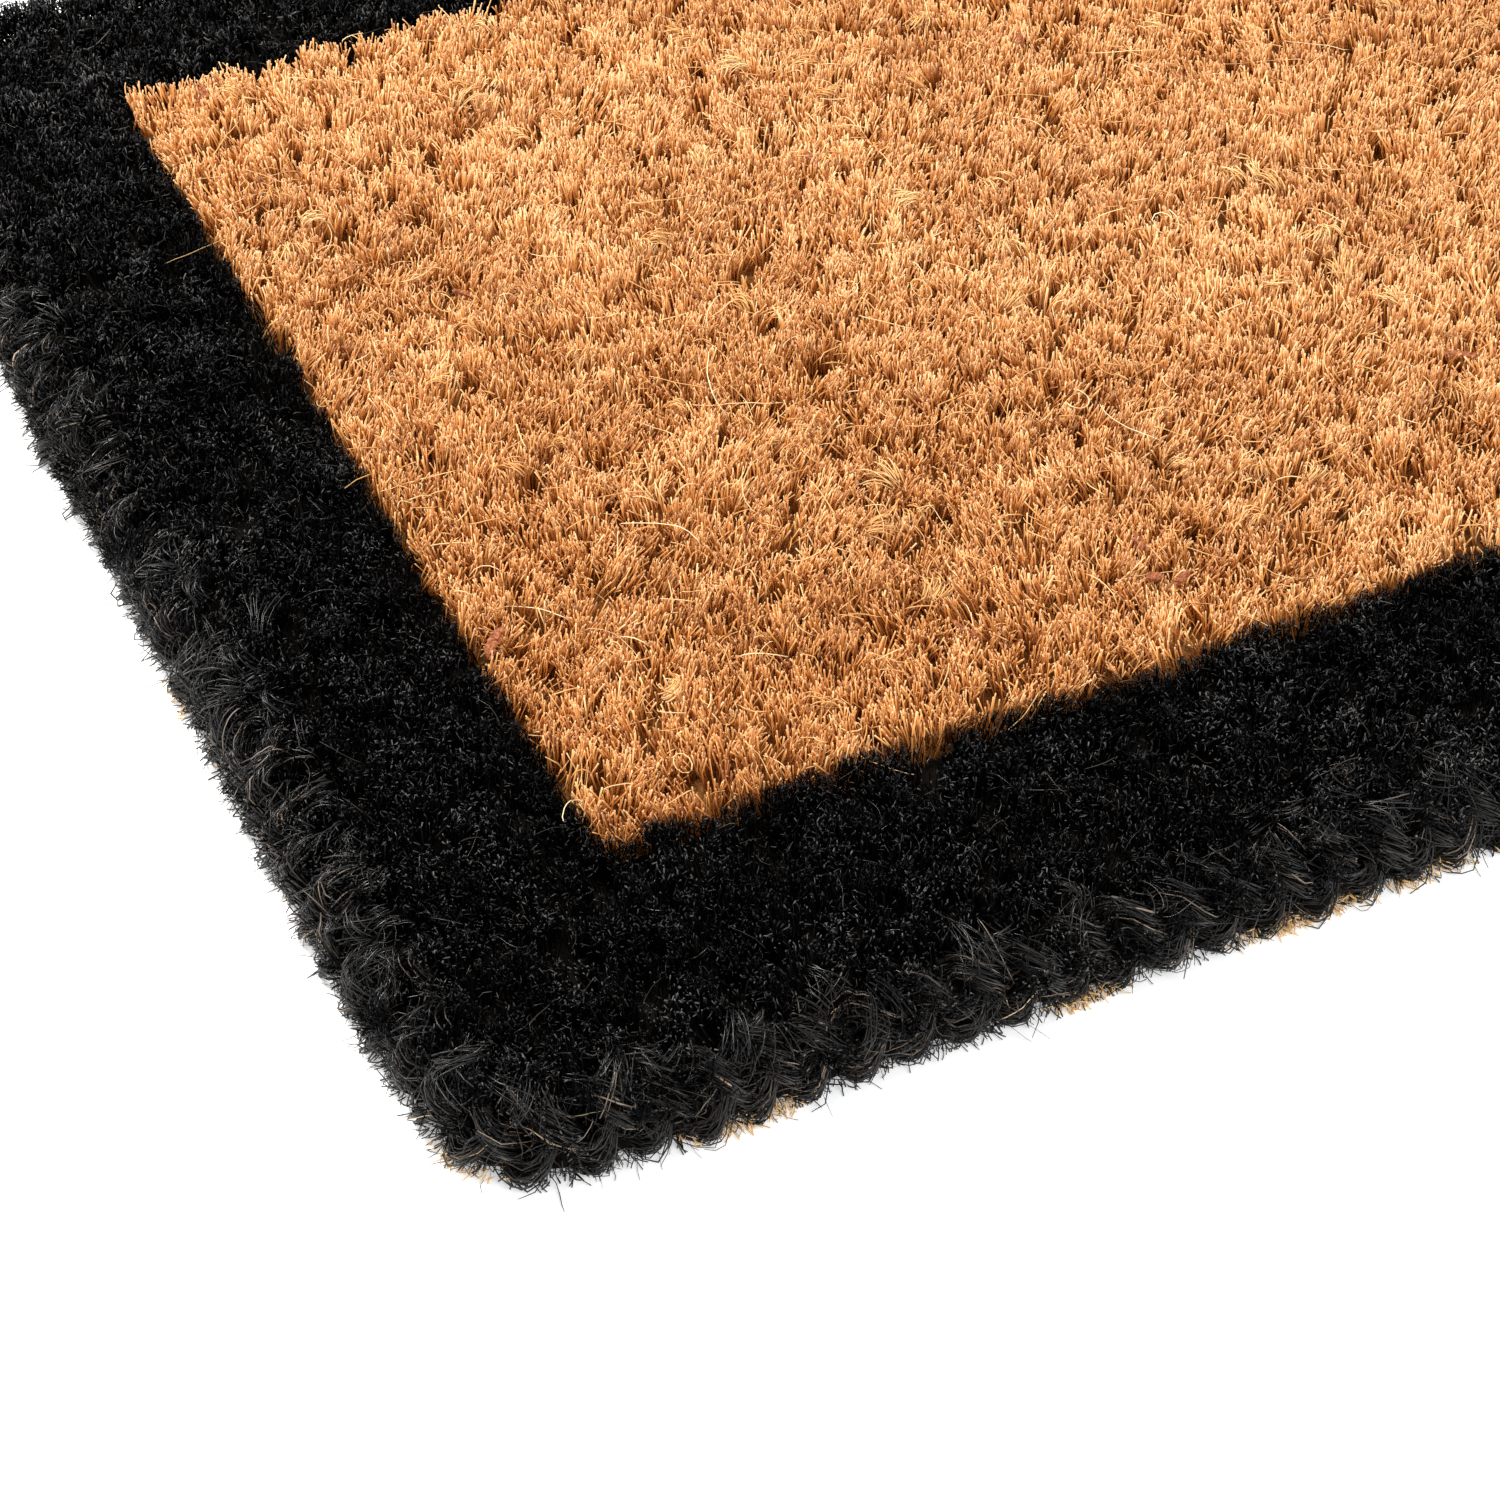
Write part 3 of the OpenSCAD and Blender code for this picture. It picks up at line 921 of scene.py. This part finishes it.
def field_loops(count, rng):
    """Fibres curled up into small rings."""
    points = 13
    radius = rng.uniform(1.8, 4.0, count)
    turned = rng.uniform(4.0, 8.0, count)[:, None]
    along = rng.uniform(0, 6.28, count)[:, None] + np.linspace(0, 1, points) * turned
    tilt = rng.normal(0, 0.35, (count, 2))
    height = rng.uniform(-0.4, 1.0, count)[:, None]
    radius[0], turned[0], tilt[0], height[0] = 2.9, 7.0, 0.1, 1.4
    open_out = 1 + rng.uniform(-0.35, 0.35, count)[:, None] * np.linspace(-1, 1, points)
    open_out[0] = 1
    x = radius[:, None] * open_out * np.cos(along) * rng.uniform(0.6, 1.0, count)[:, None]
    y = radius[:, None] * open_out * np.sin(along)
    z = tilt[:, :1] * x + tilt[:, 1:] * y + PILE_TOP + height
    middle_x = rng.uniform(-FIELD_X + 6, FIELD_X - 6, count)[:, None]
    middle_y = rng.uniform(-FIELD_Y + 6, FIELD_Y - 6, count)[:, None]
    middle_x[0], middle_y[0] = FIELD_LOW[:2] + NEAR_RING
    radii = rng.uniform(0.13, 0.20, count)[:, None] * np.ones(points)
    return np.stack([x + middle_x, y + middle_y, z], -1), radii, rng.uniform(0.5, 0.98, count)


PALE_LOCK_FIBRES = 24
PALE_LOCK_POINTS = 9


def pale_lock(rng):
    """One pale lock that lies on its side, bent round like a hook."""
    n = PALE_LOCK_FIBRES
    t = np.linspace(0, 1, PALE_LOCK_POINTS)
    heading = -math.pi * (0.06 + 1.05 * t) + rng.normal(0, 0.20, n)[:, None]
    step = rng.uniform(5.5, 9.5, n)[:, None] / (PALE_LOCK_POINTS - 1)
    aside = rng.normal(0, 0.9, n)[:, None]
    x, y = walk(heading, step)
    x = FIELD_LOW[0] + NEAR_LOCK[0] + 0.5 * aside + x
    y = FIELD_LOW[1] + NEAR_LOCK[1] + aside + y
    z = PILE_TOP + 0.2 + 1.2 * np.sin(math.pi * t) + rng.normal(0, 0.4, n)[:, None]
    radii = rng.uniform(0.13, 0.20, n)[:, None] * np.ones(PALE_LOCK_POINTS)
    return np.stack([x, y, z], -1), radii, rng.uniform(0.3, 0.85, n)


def field_fans(count, rng):
    """Locks of fibres combed flat, side by side."""
    of = np.repeat(np.arange(count), rng.integers(7, 18, count))
    n = len(of)
    x = rng.uniform(-FIELD_X + 6, FIELD_X - 6, count)[of] + rng.normal(0, 0.9, n)
    y = rng.uniform(-FIELD_Y + 6, FIELD_Y - 6, count)[of] + rng.normal(0, 0.9, n)
    turn = rng.uniform(0, CIRCLE, count)[of] + rng.normal(0, 0.35, n)
    bend = rng.normal(0, 0.9, count)[of] + rng.normal(0, 0.15, n)
    length = rng.uniform(4.5, 9, count)[of] * rng.uniform(0.75, 1.1, n)
    t = np.linspace(0, 1, 6)
    heading = turn[:, None] + bend[:, None] * t
    step = length[:, None] / 5
    px, py = np.stack([x, y])[..., None] + walk(heading, step)
    pz = PILE_TOP - 1.4 + 2.6 * np.sin(2.4 * t)[None] + rng.normal(0, 0.35, n)[:, None]
    radii = rng.uniform(0.14, 0.22, n)[:, None] * np.array([0.9, 1, 1, 1, 1, 0.9])
    return np.stack([px, py, pz], -1), radii, rng.uniform(0.05, 0.75, count)[of]


def add_field_strays(rng):
    """Loose fibres on the field, most of them short and as brown as the pile, a few long and pale."""
    batches = [
        field_wanderers(2600, 5, (3.5, 9.0), (0.16, 0.26), (0.0, 0.45), 2.2, 0.5, rng),
        field_wanderers(1100, 6, (5.0, 14.0), (0.14, 0.22), (0.25, 0.9), 1.9, 0.35, rng),
        field_wanderers(230, 9, (14.0, 26.0), (0.12, 0.18), (0.5, 1.0), 1.5, 0.2, rng),
        field_loops(50, rng),
        field_fans(150, rng),
        pale_lock(rng),
    ]
    add_fibres("field_stray_fibres", batches, pale_fibre, [], rng)


def border_curls(count, length, thick, tone, curl, points, rng):
    """Loose fibres on the border that follow its rounded edge."""
    x = rng.uniform(-MAT_X + LIP, MAT_X - LIP, count)
    y = rng.uniform(-MAT_Y + LIP, MAT_Y - LIP, count)
    keep = (np.abs(x) > FIELD_X) | (np.abs(y) > FIELD_Y)
    x, y = x[keep], y[keep]
    n = len(x)
    turn = rng.uniform(0, CIRCLE, n)
    heading = np.stack([*heading_of(turn), rng.uniform(-0.2, 0.7, n)], -1)
    z = PILE_TOP + rng.uniform(-1.8, 0.0, n)
    paths = curly_paths(np.stack([x, y, z], -1), heading, rng.uniform(*length, n), points, curl, rng)
    paths[..., 2] = np.clip(paths[..., 2], PILE_TOP - 3, PILE_TOP + 1.4)
    inside, _ = edge_distance(paths[..., 0], paths[..., 1], LIP, PILE_CORNER)
    roll = np.clip(1 - inside / EDGE_ROUND, 0, 1.6)
    paths[..., 2] -= EDGE_DROP * roll ** 2.2
    radii = rng.uniform(*thick, n)[:, None] * np.linspace(0.9, 0.7, points)
    return paths, radii, rng.uniform(*tone, n)


def add_border_strays(rng):
    """Short curls and longer loose fibres on the dyed pile."""
    for number in range(2):
        curls = border_curls(20000, (0.8, 2.8), (0.08, 0.15), (0.15, 0.88), 4.0, 4, rng)
        add_fibres(f"border_curls_{number + 1}", [curls], plait_fibre, [], rng)
    strays = border_curls(2600, (4.0, 13.0), (0.08, 0.15), (0.3, 0.90), 2.2, 7, rng)
    add_fibres("border_stray_fibres", [strays], plait_fibre, [], rng)


RIM_LOCKS = 1000
RIM_POINTS = 8


def add_rim_fibres(rng):
    """Locks of longer fibres at the rim of the pile, combed outward and hanging over the plait."""
    locks = RIM_LOCKS
    lock_s = np.sort(rng.uniform(0, LAP, locks))
    lock_back = rng.uniform(1.0, 11.0, locks)
    lock_turn = rng.normal(0, 0.75, locks)
    lock_length = rng.uniform(5.0, 13.0, locks)
    lock_bend = rng.normal(0, 1.3, locks)
    lock_rise = rng.uniform(-0.15, 0.65, locks)
    lock_drop = rng.uniform(0.25, 0.85, locks)
    lock_tone = rng.normal(0, 0.13, locks)
    of = np.repeat(np.arange(locks), rng.integers(3, 13, locks))
    n = len(of)
    s = lock_s[of] + rng.normal(0, 0.9, n)
    back = lock_back[of] + rng.normal(0, 0.7, n)
    length = lock_length[of] * rng.uniform(0.7, 1.15, n)
    turn = lock_turn[of] + rng.normal(0, 0.20, n)
    t = np.linspace(0, 1, RIM_POINTS)
    heading = turn[:, None] + (lock_bend[of] + rng.normal(0, 0.35, n))[:, None] * t
    step = length[:, None] / (RIM_POINTS - 1)
    reach, sway = walk(heading, step)
    d = reach - back[:, None]
    base = PILE_TOP - 1.6 - rng.uniform(0, 5, n) * np.clip(1 - back / 12, 0.1, 1)
    z = base[:, None] + (lock_rise[of] * length)[:, None] * t
    z = z - (lock_drop[of] * length)[:, None] * t ** 2 + 0.08 * rng.normal(size=d.shape)
    d = np.minimum(d, PLAIT_OUT + 2.0) + 0.08 * rng.normal(size=d.shape)
    z = np.clip(z, 3.0, PILE_TOP + 0.8)
    paths = beside_line(s[:, None] + sway, d, z)
    radii = rng.uniform(0.09, 0.19, n)[:, None] * np.array([0.8, 1, 1, 1, 1, 1, 1, 0.8])
    tone = np.clip(rng.beta(1.4, 2.2, n) * 0.93 + lock_tone[of], 0.01, 0.93)
    add_shares("rim_fibres", (paths, radii, tone), np.arange(n), 2, [], rng)


def edge_frame(s, z):
    """Out, ahead and down at places along the plait."""
    out = beside_line(s, 1 + 0 * s, z) - beside_line(s, 0 * s, z)
    ahead = beside_line(s + 1, 0 * s, z) - beside_line(s, 0 * s, z)
    down = np.stack([0 * s, 0 * s, -np.ones(len(s))], -1)
    return out, ahead, down


WISPS = 4200
WISP_POINTS = 7


def add_edge_wisps(rng):
    """Thin loose hairs and short cut ends that stand out from the plait."""
    n = WISPS
    s = rng.uniform(0, LAP, n)
    z = rng.uniform(0.06, 0.95, n) * 2 * PLAIT_Z
    start = beside_line(s, PLAIT_CROSS * 0.6 + 0 * s, z)
    out, ahead, down = edge_frame(s, z)
    heading = out + ahead * rng.normal(0, 0.9, n)[:, None] + down * rng.normal(0.15, 0.5, n)[:, None]
    paths = curly_paths(start, heading, rng.uniform(4.5, 11, n), WISP_POINTS, 2.6, rng)
    paths[..., 2] = np.maximum(paths[..., 2], FIBRE_LOWEST)
    radii = rng.uniform(0.07, 0.17, n)[:, None] * np.linspace(1.0, 0.55, WISP_POINTS)
    # Most wisps are charcoal. A rare one is cream: a painted glint.
    tone = np.where(rng.uniform(0, 1, n) > 0.988, 0.98, rng.uniform(0.1, 0.92, n))
    add_fibres("edge_wisps", [(paths, radii, tone)], plait_fibre, [], rng)


def fringe(centre, wide, points, reach, height, fall, length, thick, tone, rng):
    """Short cut ends that point out and down from under the plait, spread about the centres."""
    n = len(centre)
    s = centre + rng.normal(0, wide, n)
    start = beside_line(s, rng.uniform(*reach, n), rng.uniform(*height, n))
    out, ahead, down = edge_frame(s, 0 * s)
    swing = rng.normal(0, 0.42, n)[:, None]
    heading = out * rng.uniform(0.4, 1.5, n)[:, None] + ahead * swing
    heading = heading + down * rng.uniform(*fall, n)[:, None]
    paths = curly_paths(start, heading, rng.uniform(*length, n), points, 0.5, rng)
    paths[..., 2] = np.maximum(paths[..., 2], FIBRE_LOWEST)
    radii = rng.uniform(*thick, n)[:, None] * np.ones(points)
    return paths, radii, rng.uniform(*tone, n)


# Where undyed ends show under the front edge, as distances from its left end.
UNDYED_RUNS = np.array([64.0, 140.0, 143.0, 184.0, 190.0, 196.0, 203.0, 209.0, 223.0, 234.0])
STUBS = 6500
STUB_CLUSTERS = 300
STUB_THICK = (0.11, 0.20)
STUB_TONES = (0.05, 0.92)
UNDYED_CLUSTERS = 22


def add_edge_fringe(rng):
    """Short cut ends under the plait: dyed ones all along it, undyed ones in clusters."""
    places = rng.uniform(0, LAP, STUBS)
    centres = rng.uniform(0, LAP, STUB_CLUSTERS)
    centres = np.repeat(centres, rng.integers(8, 30, STUB_CLUSTERS))
    dyed = [
        fringe(places, 0.0, 4, (0.3, 4.0), (0.3, 3.6), (0.0, 0.5), (2.0, 4.6),
               STUB_THICK, STUB_TONES, rng),
        fringe(centres, 4.5, 4, (-1.5, 3.4), (1.2, 6.5), (0.3, 1.2), (2.6, 6.2),
               STUB_THICK, STUB_TONES, rng),
    ]
    add_fibres("edge_fringe", dyed, plait_fibre, [], rng)
    more_runs = rng.uniform(0, LAP, UNDYED_CLUSTERS)
    runs = np.concatenate([LONG_RUN / 2 + MAT_X - UNDYED_RUNS, more_runs])
    centres = np.repeat(runs, rng.integers(25, 90, len(runs)))
    # Undyed ends, their tones lifted towards cream to stand for light shining through them under the mat:
    # partly their own pale colour, partly painted light.
    undyed = fringe(centres, 3.6, 3, (1.4, 5.2), (0.4, 3.0), (0.0, 0.3), (1.8, 4.0), (0.11, 0.18),
                    (0.3, 1.0), rng)
    add_fibres("undyed_edge_fringe", [undyed], pale_fibre, [], rng)


FLAKES = 18
FLAKE_RINGS = 15
FLAKE_SIDES = 11


def husk_flake(x, y, turn, length, wide, rng):
    """A ridged, crooked piece of husk: rings along it and a point to close each end."""
    t = np.linspace(-1, 1, FLAKE_RINGS)[:, None]
    angle = np.arange(FLAKE_SIDES) * CIRCLE / FLAKE_SIDES
    ridges = rng.uniform(0.72, 1.2, FLAKE_SIDES)
    girth = wide * np.sqrt(np.maximum(1 - np.abs(t) ** 4, 0.05)) * rng.uniform(0.8, 1.15, (FLAKE_RINGS, 1))
    girth = girth * ridges * rng.uniform(0.68, 1.30, (FLAKE_RINGS, FLAKE_SIDES))
    along = t * length / 2 + rng.normal(0, 0.22, girth.shape)
    aside = girth * np.cos(angle) + rng.normal(0, 0.7) * t * t
    up = 0.75 * girth * np.sin(angle) + 0.5 * t
    body = np.stack([x + along * math.cos(turn) - aside * math.sin(turn),
                     y + along * math.sin(turn) + aside * math.cos(turn),
                     PILE_TOP - 0.3 + up], -1)
    ends = np.stack([body[0].mean(0), body[-1].mean(0)])
    return np.concatenate([body.reshape(-1, 3), ends])


def add_husk_flakes(rng):
    """Small brown pieces of husk caught in the field."""
    places = []
    for x, y, *shape in NEAR_FLAKES:
        places.append((FIELD_LOW[0] + x, FIELD_LOW[1] + y, *shape))
    for _ in range(FLAKES):
        places.append((rng.uniform(-0.95, 0.95) * FIELD_X, rng.uniform(-0.95, 0.95) * FIELD_Y,
                       rng.uniform(0, math.pi), rng.uniform(4, 8.5), rng.uniform(0.7, 1.4)))
    per_flake = FLAKE_RINGS * FLAKE_SIDES + 2
    first, last = per_flake - 2, per_flake - 1
    tris = []
    for side in range(FLAKE_SIDES):
        after = (side + 1) % FLAKE_SIDES
        for ring in range(FLAKE_RINGS - 1):
            a, b = ring * FLAKE_SIDES + side, ring * FLAKE_SIDES + after
            tris += [(a, b, b + FLAKE_SIDES), (a, b + FLAKE_SIDES, a + FLAKE_SIDES)]
        top = (FLAKE_RINGS - 1) * FLAKE_SIDES
        tris += [(first, after, side), (last, top + side, top + after)]
    tris = np.array(tris)
    all_tris = np.concatenate([tris + number * per_flake for number in range(len(places))])
    verts = np.concatenate([husk_flake(*place, rng) for place in places])
    piece = add_mesh("husk_flakes", verts, all_tris, None, husk, smooth=False)
    hand_over(piece, [])


# ---- the mat

add_pile(np.random.default_rng(SEED))
rng_ground = np.random.default_rng(SEED + 1)
add_ground("field_pile", natural_ground, rng_ground)
for border in PILE_NODES[1:]:
    add_ground(border, dyed_ground, rng_ground)
add_plait(np.random.default_rng(SEED + 2))
add_stitches(np.random.default_rng(SEED + 9))
add_plait_hairs(np.random.default_rng(SEED + 10))
add_field_strays(np.random.default_rng(SEED + 3))
add_border_strays(np.random.default_rng(SEED + 4))
add_rim_fibres(np.random.default_rng(SEED + 8))
add_edge_wisps(np.random.default_rng(SEED + 5))
add_edge_fringe(np.random.default_rng(SEED + 6))
add_husk_flakes(np.random.default_rng(SEED + 7))

for cad_node, cad_material in (
    ("weft_yarns", weft_yarn),
    ("chain_warp_yarns_odd", warp_yarn),
    ("chain_warp_yarns_even", warp_yarn),
):
    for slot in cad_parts[cad_node].material_slots:
        slot.material = cad_material

# ---- floor and light


def add_floor():
    """A pale floor, a hair below the mat, that glows a little so that it stays near white."""
    material, _, _, shader = new_material("floor", 0.9, 0.0)
    shader.inputs["Base Color"].default_value = (0.93, 0.93, 0.93, 1)
    shader.inputs["Emission Color"].default_value = (1, 1, 1, 1)
    shader.inputs["Emission Strength"].default_value = 0.32
    size = 6.0
    verts = np.array([(-size, -size, 0), (size, -size, 0), (size, size, 0), (-size, size, 0)]) / MM
    verts[:, 2] = MAT_LOW[2] - 0.02
    floor = add_mesh("floor", verts, np.array([(0, 1, 2), (0, 2, 3)]), None, material, smooth=False)


def add_light(name, place, aim, size, power, colour):
    """A round soft light, in metres and watts."""
    data = bpy.data.lights.new(name, "AREA")
    data.shape = "DISK"
    data.size = size
    data.energy = power
    data.color = colour
    light = bpy.data.objects.new(name, data)
    light.location = place
    light.rotation_euler = (Vector(aim) - Vector(place)).to_track_quat("-Z", "Y").to_euler()
    bpy.context.scene.collection.objects.link(light)


add_floor()
add_light("key", (-0.9, 1.1, 1.7), (0.0, 0.0, 0.0), 0.9, 72, (1.0, 0.985, 0.96))
add_light("fill", (0.4, -1.9, 1.6), (0.0, 0.0, 0.0), 1.6, 30, (0.96, 0.98, 1.0))

world = bpy.data.worlds.new("studio")
bpy.context.scene.world = world
world.use_nodes = True
world.node_tree.nodes["Background"].inputs["Color"].default_value = (1, 1, 1, 1)
world.node_tree.nodes["Background"].inputs["Strength"].default_value = 0.95
bpy.context.scene.view_settings.view_transform = "Standard"
